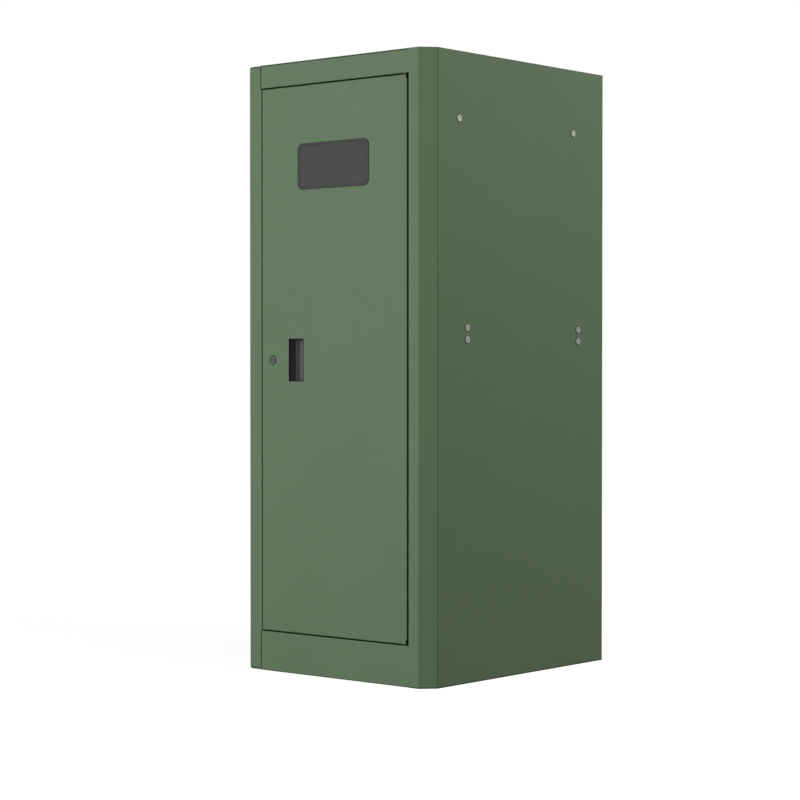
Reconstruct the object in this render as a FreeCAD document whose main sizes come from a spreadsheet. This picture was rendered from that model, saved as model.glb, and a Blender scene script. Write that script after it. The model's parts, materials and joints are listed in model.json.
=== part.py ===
import FreeCAD, Part
import os
import Sketcher

# Sheet-steel side locker for a tool chest: a folded cabinet, an inset door on concealed
# pivots, a tubular cam lock and three lift-out shelves.
# Frame: +Z up, the door faces -Y, +X to the right, origin under the middle of the cabinet.

doc = FreeCAD.newDocument("side_locker")

SIZES = {
    # cabinet
    "width": 432.0,
    "depth": 522.5,
    "height": 1118.0,
    "sheet": 1.2,
    "bend": 1.0,            # inside radius of every fold
    "corner_cut": 24.0,     # legs of the slanted front right corner
    "pan_lap": 28.45,       # how far the left pan wraps round the front, top, back and base
    "pan_corner": 5.0,
    "seam": 1.2,            # open seam beside the pan
    "seam_tab": 15.0,       # hidden tab that carries the seam
    "lock_stile": 30.9,
    "hinge_stile": 23.35,
    "stile_step": 2.7,      # hinge stile's edge to the ends of the rails
    "header_drop": 43.0,
    "kick_rise": 73.0,
    "stile_return": 24.0,
    "rail_return": 30.0,
    "rail_lip": 12.0,
    "strike_return": 20.0,
    "strike_lip": 14.0,
    "rear_flange": 20.0,
    "foot_flange": 15.0,
    "top_round": 0.95,      # rounding of the top panel's rim
    "floor_flange": 20.0,
    # bolt holes of both side walls
    "bolt_hole": 11.0,
    "top_bolt_drop": 118.7,  # cabinet's top edge to the upper holes
    "top_bolt_front": 83.3,  # cabinet's front to the front holes
    "top_bolt_rear": 97.9,   # cabinet's rear to the rear holes
    "mid_bolt_drop": 497.6,
    "mid_bolt_front": 106.7,
    "mid_bolt_rear": 81.4,
    "mid_bolt_pair": 21.4,
    "plug_head": 14.5,
    "plug_proud": 1.6,
    "plug_reach": 6.0,
    # door
    "lock_gap": 1.2,
    "hinge_gap": 2.9,
    "end_gap": 2.0,
    "door_thick": 18.0,
    "door_return": 12.0,
    "notch_wide": 2.3,
    "notch_tall": 8.0,
    "hat_crown": 60.0,
    "hat_foot": 15.0,
    "hat_short": 20.0,      # stiffener stops this far inside the door's ends
    # finger pull
    "pull_wide": 37.8,
    "pull_tall": 78.6,
    "pull_deep": 20.6,
    "pull_shallow": 9.0,
    "pull_flat": 5.0,
    "pull_wall": 1.5,
    "pull_rim": 6.0,
    "pull_in": 66.9,        # door's lock edge to the pull's near side
    "grip_drop": 543.8,     # cabinet's top edge to the middle of the pull and the lock
    # lock
    "lock_in": 26.7,
    "lock_head": 18.0,
    "lock_proud": 1.2,
    "lock_bevel": 0.6,
    "lock_barrel": 15.5,
    "lock_long": 22.0,
    "plug_bore": 11.0,
    "key_ring_out": 8.2,
    "key_ring_in": 5.2,
    "key_ring_deep": 4.0,
    "cam_long": 38.0,
    "cam_wide": 16.0,
    "cam_thick": 2.0,
    "cam_square": 7.0,
    "nut_flats": 20.0,
    "nut_thick": 3.5,
    "cam_screw": 4.0,
    "cam_screw_head": 9.0,
    # pivots
    "pivot_in": 9.0,        # door's hinge edge to the pivot axis
    "pivot_back": 6.5,      # door's face to the pivot axis
    "pivot_pin": 6.0,
    "bush_wall": 1.5,
    "bush_flange": 12.5,
    "bush_reach": 7.0,
    "pivot_plate": 2.0,
    "pivot_plate_long": 44.0,
    "running": 0.05,        # radial clearance of pins and lock parts
    "rest_gap": 0.3,        # nearest that the door comes to fixed pieces
    # shelves
    "post_wide": 20.0,
    "post_deep": 8.0,
    "post_front": 132.0,    # front of the cabinet to the middle of the front posts
    "post_rear": 58.0,
    "post_top": 60.0,
    "slot_wide": 3.0,
    "slot_tall": 12.0,
    "slot_start": 30.0,
    "slot_pitch": 50.0,
    "shelf_side_gap": 1.0,
    "shelf_front": 45.0,
    "shelf_back": 5.0,
    "shelf_flange": 25.0,
    "clip_wide": 10.0,
    "clip_thick": 1.5,
    "clip_tongue": 11.0,
    "clip_tall": 18.0,
    # catch and stop
    "strike_wide": 40.0,
    "catch_wide": 46.0,
    "catch_deep": 10.0,
    "catch_tall": 13.0,
    "catch_in": 58.0,
    "stop_wide": 30.0,
    "stop_tall": 20.0,
    "bumper": 12.0,
}
SHELF_SLOTS = {"lower_shelf": 5, "middle_shelf": 9, "upper_shelf": 13}

size = doc.addObject("Spreadsheet::Sheet", "size")
for row, (name, number) in enumerate(SIZES.items(), start=1):
    size.set(f"A{row}", name)
    size.set(f"B{row}", str(number))
    size.setAlias(f"B{row}", name)
doc.recompute()

# Places that several pieces share, as expressions of the sheet.
T = "size.sheet"
LEFT = "-size.width / 2"
RIGHT = "size.width / 2"
FRONT = "-size.depth / 2"
REAR = "size.depth / 2"
TOP_UNDER = "(size.height - size.sheet)"
INNER_REAR = "(size.depth / 2 - 2 * size.sheet)"
SEAM_X = "(-size.width / 2 + size.pan_lap + size.seam)"
LOCK_EDGE = "(-size.width / 2 + size.lock_stile)"
HINGE_EDGE = "(size.width / 2 - size.corner_cut - size.hinge_stile)"
RAIL_END = "(size.width / 2 - size.corner_cut - size.hinge_stile + size.stile_step)"
HEADER_LOW = "(size.height - size.header_drop)"
KICK_TOP = "size.kick_rise"
RAIL_BACK = "(-size.depth / 2 + size.rail_return)"
DOOR_LEFT = "(-size.width / 2 + size.lock_stile + size.lock_gap)"
DOOR_RIGHT = "(size.width / 2 - size.corner_cut - size.hinge_stile - size.hinge_gap)"
DOOR_LOW = "(size.kick_rise + size.end_gap)"
DOOR_HIGH = "(size.height - size.header_drop - size.end_gap)"
DOOR_BACK = "(-size.depth / 2 + size.door_thick)"
DOOR_SKIN = "(-size.depth / 2 + size.sheet)"
DOOR_MID = f"(({DOOR_LEFT} + {DOOR_RIGHT}) / 2)"
PIVOT_X = f"({DOOR_RIGHT} - size.pivot_in)"
PIVOT_Y = "(-size.depth / 2 + size.pivot_back)"
LOCK_X = f"({DOOR_LEFT} + size.lock_in)"
CAM_FRONT = "(-size.depth / 2 + size.lock_long + size.running)"
CAM_BACK = f"({CAM_FRONT} + size.cam_thick)"
POST_FRONT = "(-size.depth / 2 + size.post_front)"
POST_REAR = "(size.depth / 2 - size.post_rear)"
GRIP_Z = "(size.height - size.grip_drop)"
TOP_BOLT_Z = "size.height - size.top_bolt_drop"
BOLTS = [(f"{FRONT} + size.top_bolt_front", TOP_BOLT_Z),
         (f"{REAR} - size.top_bolt_rear", TOP_BOLT_Z)]
for drop in ("size.mid_bolt_drop + size.mid_bolt_pair / 2",
             "size.mid_bolt_drop - size.mid_bolt_pair / 2"):
    for y in (f"{FRONT} + size.mid_bolt_front", f"{REAR} - size.mid_bolt_rear"):
        BOLTS.append((y, f"size.height - ({drop})"))

NODES = []


def value(expression):
    """What an expression of the sheet comes to, in millimetres."""
    return float(size.evalExpression(str(expression)))


# ---------------------------------------------------------------- drawing helpers

def new_body(label, keep=True):
    """An empty body; one that is kept is a node of its own."""
    body = doc.addObject("PartDesign::Body", label)
    body.Label = label
    if keep:
        NODES.append(body)
    return body


def rectangle(x0, y0, x1, y1):
    """Corners of a rectangle between two opposite corners."""
    return [(x0, y0), (x1, y0), (x1, y1), (x0, y1)]


def circle(x, y, diameter):
    """A round loop for a sketch."""
    return ("circle", x, y, diameter)


def hexagon(x, y, point):
    """Corners of a regular hexagon; point is the distance from its middle to a corner."""
    half = f"({point}) / 2"
    flat = f"({point}) * cos(30 deg)"
    return [(f"{x} + {point}", y), (f"{x} + {half}", f"{y} + {flat}"),
            (f"{x} - {half}", f"{y} + {flat}"), (f"{x} - ({point})", y),
            (f"{x} - {half}", f"{y} - {flat}"), (f"{x} + {half}", f"{y} - {flat}")]


def hold(sketch, kind, item, point, expression):
    """Ties one coordinate of a point of the sketch to an expression."""
    datum = Sketcher.Constraint(kind, -1, 1, item, point, value(expression))
    number = sketch.addConstraint(datum)
    sketch.setExpression(f"Constraints[{number}]", str(expression))


def draw_circle(sketch, x, y, diameter):
    """Adds a circle whose middle and diameter follow expressions."""
    spot = FreeCAD.Vector(value(x), value(y), 0)
    item = sketch.addGeometry(Part.Circle(spot, FreeCAD.Vector(0, 0, 1), value(diameter) / 2))
    hold(sketch, "DistanceX", item, 3, x)
    hold(sketch, "DistanceY", item, 3, y)
    number = sketch.addConstraint(Sketcher.Constraint("Diameter", item, value(diameter)))
    sketch.setExpression(f"Constraints[{number}]", str(diameter))


def draw_outline(sketch, corners):
    """Adds a closed run of straight edges whose corners follow expressions."""
    spots = [FreeCAD.Vector(value(x), value(y), 0) for x, y in corners]
    count = len(spots)
    first = sketch.GeometryCount
    for i in range(count):
        sketch.addGeometry(Part.LineSegment(spots[i], spots[(i + 1) % count]))
    for i in range(count):
        joined = first + (i + 1) % count
        sketch.addConstraint(Sketcher.Constraint("Coincident", first + i, 2, joined, 1))
    for i, (x, y) in enumerate(corners):
        hold(sketch, "DistanceX", first + i, 1, x)
        hold(sketch, "DistanceY", first + i, 1, y)


def sketch_on(body, plane, at, loops):
    """A sketch of closed loops on an origin plane of the body, moved to a coordinate."""
    sketch = body.newObject("Sketcher::SketchObject", f"{body.Name}_sketch")
    datum = next(item for item in body.Origin.OriginFeatures if item.Role == plane)
    sketch.AttachmentSupport = [(datum, "")]
    sketch.MapMode = "FlatFace"
    lift = f"-({at})" if plane == "XZ_Plane" else str(at)
    sketch.setExpression("AttachmentOffset.Base.z", lift)
    for loop in loops:
        if loop[0] == "circle":
            draw_circle(sketch, *loop[1:])
        else:
            draw_outline(sketch, loop)
    return sketch


def pad(body, plane, at, loops, length):
    """Adds the loops' area, from a coordinate towards the plane's plus side."""
    feature = body.newObject("PartDesign::Pad", f"{body.Name}_pad")
    feature.Profile = sketch_on(body, plane, at, loops)
    feature.setExpression("Length", str(length))
    feature.Reversed = plane == "XZ_Plane"
    doc.recompute()
    return feature


def cut(body, plane, at, loops, length):
    """Takes the loops' area away, from a coordinate towards the plane's plus side."""
    before = body.Shape.Volume
    feature = body.newObject("PartDesign::Pocket", f"{body.Name}_cut")
    feature.Profile = sketch_on(body, plane, at, loops)
    feature.setExpression("Length", str(length))
    feature.Reversed = plane != "XZ_Plane"
    doc.recompute()
    if not body.Shape.Volume < before - 1e-6:
        raise RuntimeError(f"{body.Label}: a cut took nothing away")
    return feature


def edges_along(shape, axis, spots):
    """Names of the straight edges along an axis that pass through the given spots."""
    others = [i for i in range(3) if i != "XYZ".index(axis)]
    found = []
    for number, edge in enumerate(shape.Edges, start=1):
        ends = [edge.valueAt(edge.FirstParameter), edge.valueAt(edge.LastParameter)]
        for spot in spots:
            if all(abs(end[i] - goal) < 1e-3 for end in ends for i, goal in zip(others, spot)):
                found.append(f"Edge{number}")
    return found


def round_off(body, radius, names):
    """Rounds the named edges of the body's last feature."""
    if not names:
        raise RuntimeError(f"{body.Label}: no edge to round")
    base = body.Tip
    feature = body.newObject("PartDesign::Fillet", f"{body.Name}_fillet")
    feature.Base = (base, names)
    feature.setExpression("Radius", str(radius))
    doc.recompute()
    if "Invalid" in feature.State:
        raise RuntimeError(f"{body.Label}: a rounding failed")
    return feature


def bevel(body, setback, names):
    """Cuts the named edges of the body's last feature back at 45 degrees."""
    if not names:
        raise RuntimeError(f"{body.Label}: no edge to bevel")
    base = body.Tip
    feature = body.newObject("PartDesign::Chamfer", f"{body.Name}_bevel")
    feature.Base = (base, names)
    feature.setExpression("Size", str(setback))
    doc.recompute()
    if "Invalid" in feature.State:
        raise RuntimeError(f"{body.Label}: a bevel failed")
    return feature


def fold(body, axis, outer, inner):
    """Gives each fold of the sheet its outside and inside radius."""
    for corners, radius in ((outer, "size.bend + size.sheet"), (inner, "size.bend")):
        spots = [(value(x), value(y)) for x, y in corners]
        round_off(body, radius, edges_along(body.Tip.Shape, axis, spots))


def on_plane(shape, axis, at, long_enough=0.5):
    """Names of the edges that lie wholly in one plane across an axis."""
    i = "XYZ".index(axis)
    names = []
    for number, edge in enumerate(shape.Edges, start=1):
        box = edge.BoundBox
        low, high = ((box.XMin, box.XMax), (box.YMin, box.YMax), (box.ZMin, box.ZMax))[i]
        if abs(low - at) < 1e-3 and abs(high - at) < 1e-3 and edge.Length > long_enough:
            names.append(f"Edge{number}")
    return names


def group_of(label, pattern, places):
    """One node of equal loose pieces; each place is x, y, z and a turn about Z in degrees."""
    links = []
    for x, y, z, turn in places:
        link = doc.addObject("App::Link", f"{label}_piece")
        link.LinkedObject = pattern
        link.LinkTransform = True
        for axis, expression in zip("xyz", (x, y, z)):
            link.setExpression(f"Placement.Base.{axis}", str(expression))
        link.Placement.Rotation = FreeCAD.Rotation(FreeCAD.Vector(0, 0, 1), turn)
        links.append(link)
    group = doc.addObject("Part::Compound", label)
    group.Label = label
    group.Links = links
    doc.recompute()
    NODES.append(group)
    return group


# ---------------------------------------------------------------- cabinet

def left_side_pan():
    """Left wall with its edges folded in all round, and the stile that takes the lock's cam."""
    body = new_body("left_side_pan")
    outline = rectangle(FRONT, "0", REAR, "size.height")
    inside = rectangle(f"{FRONT} + {T}", T, f"{REAR} - {T}", f"size.height - {T}")
    pad(body, "YZ_Plane", LEFT, [outline], T)
    pad(body, "YZ_Plane", LEFT, [outline, inside], "size.pan_lap")
    for corners, radius in ((outline, "size.pan_corner"), (inside, f"size.pan_corner - {T}")):
        spots = [(value(y), value(z)) for y, z in corners]
        round_off(body, radius, edges_along(body.Tip.Shape, "X", spots))
    round_off(body, f"size.bend + {T}", on_plane(body.Tip.Shape, "X", value(LEFT)))
    lap = f"{LEFT} + size.pan_lap"
    strike = f"{FRONT} + size.strike_return"
    tip = f"{LOCK_EDGE} - size.strike_lip"
    stile = [(lap, FRONT), (LOCK_EDGE, FRONT), (LOCK_EDGE, strike), (tip, strike),
             (tip, f"{strike} - {T}"), (f"{LOCK_EDGE} - {T}", f"{strike} - {T}"),
             (f"{LOCK_EDGE} - {T}", f"{FRONT} + {T}"), (lap, f"{FRONT} + {T}")]
    pad(body, "XY_Plane", KICK_TOP, [stile], f"{HEADER_LOW} - {KICK_TOP}")
    fold(body, "Z", stile[1:3], [stile[5], stile[6]])
    holes = [circle(y, z, "size.bolt_hole") for y, z in BOLTS]
    cut(body, "YZ_Plane", LEFT, holes, f"2 * {T}")


def right_side_panel():
    """Right wall in one folded sheet: hinge stile, slanted corner, wall and rear flange."""
    body = new_body("right_side_panel")
    slant = f"{T} * tan(22.5 deg)"
    cut_x = f"{RIGHT} - size.corner_cut"
    cut_y = f"{FRONT} + size.corner_cut"
    outer = [(cut_x, FRONT), (RIGHT, cut_y), (RIGHT, REAR)]
    inner = [(f"{cut_x} - {slant}", f"{FRONT} + {T}"),
             (f"{RIGHT} - {T}", f"{cut_y} + {slant}"), (f"{RIGHT} - {T}", f"{REAR} - {T}")]
    rear_end = f"{RIGHT} - size.rear_flange"
    profile = ([(RAIL_END, FRONT)] + outer + [(rear_end, REAR), (rear_end, f"{REAR} - {T}")]
               + inner[::-1] + [(RAIL_END, f"{FRONT} + {T}")])
    pad(body, "XY_Plane", "0", [profile], TOP_UNDER)
    fold(body, "Z", outer, inner)
    door_end = f"{FRONT} + size.stile_return"
    stile = [(RAIL_END, FRONT), (HINGE_EDGE, FRONT), (HINGE_EDGE, door_end),
             (f"{HINGE_EDGE} + {T}", door_end), (f"{HINGE_EDGE} + {T}", f"{FRONT} + {T}"),
             (RAIL_END, f"{FRONT} + {T}")]
    pad(body, "XY_Plane", KICK_TOP, [stile], f"{HEADER_LOW} - {KICK_TOP}")
    fold(body, "Z", [stile[1]], [stile[4]])
    foot = rectangle(f"{RIGHT} - {T} - size.foot_flange", f"{cut_y} + 2 * {T}",
                     f"{RIGHT} - {T} / 2", f"{REAR} - size.rear_flange")
    pad(body, "XY_Plane", "0", [foot], T)
    holes = [circle(y, z, "size.bolt_hole") for y, z in BOLTS]
    cut(body, "YZ_Plane", f"{RIGHT} - 2 * {T}", holes, f"3 * {T}")


def rail(label, edge, inward, far):
    """Folded rail across the front; edge is the door's side of it and inward points into it."""
    body = new_body(label)
    sign = "+" if inward > 0 else "-"
    back = "-" if inward > 0 else "+"
    lip = f"{edge} {sign} size.rail_lip"
    profile = [(FRONT, far), (FRONT, edge), (RAIL_BACK, edge), (RAIL_BACK, lip),
               (f"{RAIL_BACK} - {T}", lip), (f"{RAIL_BACK} - {T}", f"{edge} {sign} {T}"),
               (DOOR_SKIN, f"{edge} {sign} {T}"), (DOOR_SKIN, f"{far} {back} {T}"),
               (f"{FRONT} + size.foot_flange", f"{far} {back} {T}"),
               (f"{FRONT} + size.foot_flange", far)]
    pad(body, "YZ_Plane", SEAM_X, [profile], f"{RAIL_END} - {SEAM_X}")
    fold(body, "X", [profile[0], profile[1], profile[2]], [profile[5], profile[6], profile[7]])
    low, high = (edge, far) if inward > 0 else (far, edge)
    inset = "(size.pan_corner + size.bend)"
    tab = rectangle(f"{SEAM_X} - size.seam_tab", f"{low} + {inset}",
                    f"{SEAM_X} + size.seam_tab / 2", f"{high} - {inset}")
    pad(body, "XZ_Plane", DOOR_SKIN, [tab], T)
    pin = [circle(PIVOT_X, PIVOT_Y, "size.pivot_pin + 2 * size.running")]
    start = edge if inward > 0 else f"{edge} - 2 * {T}"
    cut(body, "XY_Plane", f"{start} - {T}", pin, f"4 * {T}")
    return body


def top_panel():
    """Flat top with a rounded rim that caps the walls, and a flange down each side."""
    body = new_body("top_panel")
    cut_x = f"{RIGHT} - size.corner_cut"
    cut_y = f"{FRONT} + size.corner_cut"
    outline = [(SEAM_X, FRONT), (cut_x, FRONT), (RIGHT, cut_y), (RIGHT, REAR), (SEAM_X, REAR)]
    pad(body, "XY_Plane", TOP_UNDER, [outline], T)
    rim = []
    for name in on_plane(body.Tip.Shape, "Z", value("size.height")):
        edge = body.Tip.Shape.getElement(name)
        if edge.CenterOfMass.x > value(f"{SEAM_X} + {T}"):
            rim.append(name)
    round_off(body, "size.top_round", rim)
    start = f"{cut_y} + 2 * {T}"
    under = f"{TOP_UNDER} - size.foot_flange"
    right = rectangle(f"{RIGHT} - 2 * {T}", start, f"{RIGHT} - {T}", INNER_REAR)
    pad(body, "XY_Plane", under, [right], f"size.foot_flange + {T} / 2")
    left = rectangle(SEAM_X, start, f"{SEAM_X} + {T}", INNER_REAR)
    pad(body, "XY_Plane", under, [left], f"size.foot_flange + {T} / 2")


def back_panel():
    """Flat back inside the rear flanges, notched round the left pan's rounded corners."""
    body = new_body("back_panel")
    wall = f"{LEFT} + {T} + size.bend"
    far_wall = f"{RIGHT} - {T} - size.bend"
    lap = f"{LEFT} + size.pan_lap"
    low = f"{T} + size.pan_corner"
    high = f"{TOP_UNDER} - size.pan_corner"
    outline = [(wall, low), (lap, low), (lap, T), (far_wall, T), (far_wall, TOP_UNDER),
               (lap, TOP_UNDER), (lap, high), (wall, high)]
    pad(body, "XZ_Plane", INNER_REAR, [outline], T)


def tray(label, x0, y0, x1, y1, top, flange):
    """Flat sheet with a flange turned down on all four sides."""
    body = new_body(label)
    outline = rectangle(x0, y0, x1, y1)
    inside = rectangle(f"{x0} + {T}", f"{y0} + {T}", f"{x1} - {T}", f"{y1} - {T}")
    pad(body, "XY_Plane", f"{top} - {T}", [outline], T)
    pad(body, "XY_Plane", f"{top} - {flange}", [outline, inside], flange)
    round_off(body, f"size.bend + {T}", on_plane(body.Tip.Shape, "Z", value(top)))
    return body


# ---------------------------------------------------------------- shelving

def shelf_post(label, side, y):
    """Slotted channel on a side wall; side is -1 on the left and 1 on the right."""
    body = new_body(label)
    edge = LEFT if side < 0 else RIGHT
    inward = "+" if side < 0 else "-"
    back = "-" if side < 0 else "+"
    wall = f"{edge} {inward} {T}"
    web = f"{wall} {inward} size.post_deep"
    inner_web = f"{web} {back} {T}"
    low = f"{y} - size.post_wide / 2"
    high = f"{y} + size.post_wide / 2"
    profile = [(wall, low), (web, low), (web, high), (wall, high), (wall, f"{high} - {T}"),
               (inner_web, f"{high} - {T}"), (inner_web, f"{low} + {T}"), (wall, f"{low} + {T}")]
    pad(body, "XY_Plane", KICK_TOP, [profile], f"size.height - size.post_top - {KICK_TOP}")
    slot_z = f"{KICK_TOP} + size.slot_start"
    slot = rectangle(f"{y} - size.slot_wide / 2", f"{slot_z} - size.slot_tall / 2",
                     f"{y} + size.slot_wide / 2", f"{slot_z} + size.slot_tall / 2")
    start = inner_web if side < 0 else web
    first = cut(body, "YZ_Plane", f"{start} - {T}", [slot], f"3 * {T}")
    room = f"size.height - size.post_top - {KICK_TOP} - 2 * size.slot_start"
    steps = f"floor(({room}) / size.slot_pitch)"
    row_of_slots = body.newObject("PartDesign::LinearPattern", f"{label}_slots")
    row_of_slots.Originals = [first]
    row_of_slots.Direction = (first.Profile[0], ["V_Axis"])
    row_of_slots.setExpression("Length", f"{steps} * size.slot_pitch")
    row_of_slots.setExpression("Occurrences", f"{steps} + 1")
    body.Tip = row_of_slots
    doc.recompute()


def shelf_clip():
    """Pattern for the shelf clips: a hooked angle, its hook in a slot and its tongue inward."""
    body = new_body("shelf_clip", keep=False)
    half = "size.clip_wide / 2"
    upper = "size.slot_tall / 2"
    angle = [("0", f"{upper} - size.clip_tall"), ("size.clip_thick", f"{upper} - size.clip_tall"),
             ("size.clip_thick", f"{upper} - size.clip_thick"),
             ("size.clip_tongue", f"{upper} - size.clip_thick"), ("size.clip_tongue", upper),
             ("0", upper)]
    pad(body, "XZ_Plane", f"-{half}", [angle], "size.clip_wide")
    play = "size.rest_gap"
    hook = rectangle(f"-{T} - size.clip_thick", f"-{upper} + {play}", "0", f"{upper} - {play}")
    pad(body, "XZ_Plane", f"-size.slot_wide / 2 + {play}", [hook], f"size.slot_wide - 2 * {play}")
    return body


def shelf_and_clips(label, slot, clip):
    """One lift-out shelf and the four clips that carry it at a slot's height."""
    slot_z = f"({KICK_TOP} + size.slot_start + {slot} * size.slot_pitch)"
    top = f"({slot_z} + size.slot_tall / 2 + size.shelf_flange)"
    margin = f"({T} + size.post_deep + size.shelf_side_gap)"
    tray(label, f"({LEFT} + {margin})", f"({FRONT} + size.shelf_front)",
         f"({RIGHT} - {margin})", f"({INNER_REAR} - size.shelf_back)", top, "size.shelf_flange")
    face = f"{T} + size.post_deep"
    places = []
    for y in (POST_FRONT, POST_REAR):
        places.append((f"{LEFT} + {face}", y, slot_z, 0))
        places.append((f"{RIGHT} - ({face})", y, slot_z, 180))
    group_of(f"{label}_clips", clip, places)


# ---------------------------------------------------------------- wall plugs

def wall_plug():
    """Pattern for the plugs that close unused bolt holes: a round head on a six-sided stem."""
    body = new_body("wall_plug", keep=False)
    pad(body, "YZ_Plane", "0", [circle("0", "0", "size.plug_head")], "size.plug_proud")
    stem = hexagon("0", "0", "size.bolt_hole / 2 - size.running")
    reach = f"size.plug_reach + {T}"
    pad(body, "YZ_Plane", f"-({reach})", [stem], reach)
    return body


# ---------------------------------------------------------------- door

def door_pan():
    """Door skin with its edges folded back and in, relieved at the two hinge corners."""
    body = new_body("door_pan")
    outline = rectangle(DOOR_LEFT, DOOR_LOW, DOOR_RIGHT, DOOR_HIGH)

    def inset(by):
        return rectangle(f"{DOOR_LEFT} + {by}", f"{DOOR_LOW} + {by}",
                         f"{DOOR_RIGHT} - {by}", f"{DOOR_HIGH} - {by}")

    pad(body, "XZ_Plane", FRONT, [outline], T)
    pad(body, "XZ_Plane", FRONT, [outline, inset(T)], "size.door_thick")
    hem = [outline, inset("size.door_return")]
    pad(body, "XZ_Plane", f"{DOOR_BACK} - {T}", hem, T)
    round_off(body, f"size.bend + {T}", on_plane(body.Tip.Shape, "Y", value(FRONT)))
    pull_x = f"{DOOR_LEFT} + size.pull_in"
    window = rectangle(pull_x, f"{GRIP_Z} - size.pull_tall / 2",
                       f"{pull_x} + size.pull_wide", f"{GRIP_Z} + size.pull_tall / 2")
    barrel = circle(LOCK_X, GRIP_Z, "size.lock_barrel + 2 * size.running")
    cut(body, "XZ_Plane", f"{FRONT} - {T}", [window, barrel], f"3 * {T}")
    notch_x = f"{DOOR_RIGHT} - size.notch_wide"
    beyond = f"{DOOR_RIGHT} + {T}"
    upper = rectangle(notch_x, f"{DOOR_HIGH} - size.notch_tall", beyond, f"{DOOR_HIGH} + {T}")
    lower = rectangle(notch_x, f"{DOOR_LOW} - {T}", beyond, f"{DOOR_LOW} + size.notch_tall")
    cut(body, "XZ_Plane", f"{FRONT} - {T}", [upper, lower], f"size.door_thick + 2 * {T}")
    hole = "size.pivot_pin + 2 * size.bush_wall + 2 * size.running"
    bush = [circle(PIVOT_X, PIVOT_Y, hole)]
    cut(body, "XY_Plane", f"{DOOR_HIGH} - 2 * {T}", bush, f"3 * {T}")
    cut(body, "XY_Plane", f"{DOOR_LOW} - {T}", bush, f"3 * {T}")


def door_stiffener():
    """Hat channel down the middle of the door, its feet on the skin."""
    body = new_body("door_stiffener")
    crown = f"{DOOR_BACK} - 2 * {T}"
    left = f"{DOOR_MID} - size.hat_crown / 2"
    right = f"{DOOR_MID} + size.hat_crown / 2"
    foot = f"{DOOR_SKIN} + {T}"
    outer = [(left, crown), (right, crown)]
    inner = [(f"{right} - {T}", f"{crown} - {T}"), (f"{left} + {T}", f"{crown} - {T}")]
    profile = ([(f"{left} - size.hat_foot", DOOR_SKIN), (f"{left} - size.hat_foot", foot),
                (left, foot)] + outer
               + [(right, foot), (f"{right} + size.hat_foot", foot),
                  (f"{right} + size.hat_foot", DOOR_SKIN), (f"{right} - {T}", DOOR_SKIN)]
               + inner + [(f"{left} + {T}", DOOR_SKIN)])
    pad(body, "XY_Plane", f"{DOOR_LOW} + size.hat_short", [profile],
        f"{DOOR_HIGH} - {DOOR_LOW} - 2 * size.hat_short")
    fold(body, "Z", outer, inner)


def pull_cup():
    """Finger cup behind the door's window: deep on the lock side, ramping up to the far side."""
    body = new_body("pull_cup")
    near = f"({DOOR_LEFT} + size.pull_in)"
    far = f"({near} + size.pull_wide)"
    low = f"({GRIP_Z} - size.pull_tall / 2)"
    wall = "size.pull_wall"
    deep = f"{FRONT} + size.pull_deep"
    shallow = f"{FRONT} + size.pull_shallow"
    elbow = f"{near} + size.pull_flat"
    shell = [(f"{near} - {wall}", DOOR_SKIN), (f"{near} - {wall}", f"{deep} + {wall}"),
             (f"{elbow} + {wall} / 2", f"{deep} + {wall}"),
             (f"{far} + {wall}", f"{shallow} + {wall}"), (f"{far} + {wall}", DOOR_SKIN)]
    hollow = [(near, DOOR_SKIN), (near, deep), (elbow, deep), (far, shallow), (far, DOOR_SKIN)]
    pad(body, "XY_Plane", f"{low} - {wall}", [shell], f"size.pull_tall + 2 * {wall}")
    rim = rectangle(f"{near} - size.pull_rim", f"{low} - size.pull_rim",
                    f"{far} + size.pull_rim", f"{low} + size.pull_tall + size.pull_rim")
    pad(body, "XZ_Plane", DOOR_SKIN, [rim], wall)
    cut(body, "XY_Plane", low, [hollow], "size.pull_tall")
    spots = [(value(x), value(y)) for x, y in (hollow[1], hollow[2])]
    round_off(body, "2 * size.pull_wall", edges_along(body.Tip.Shape, "Z", spots))


# ---------------------------------------------------------------- lock

def lock_disc(body, start, end, *loops):
    """A round or square step of a lock part, along the lock's axis."""
    pad(body, "XZ_Plane", start, list(loops), f"{end} - ({start})")


def at_lock(diameter):
    """A circle on the lock's axis."""
    return circle(LOCK_X, GRIP_Z, diameter)


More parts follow.
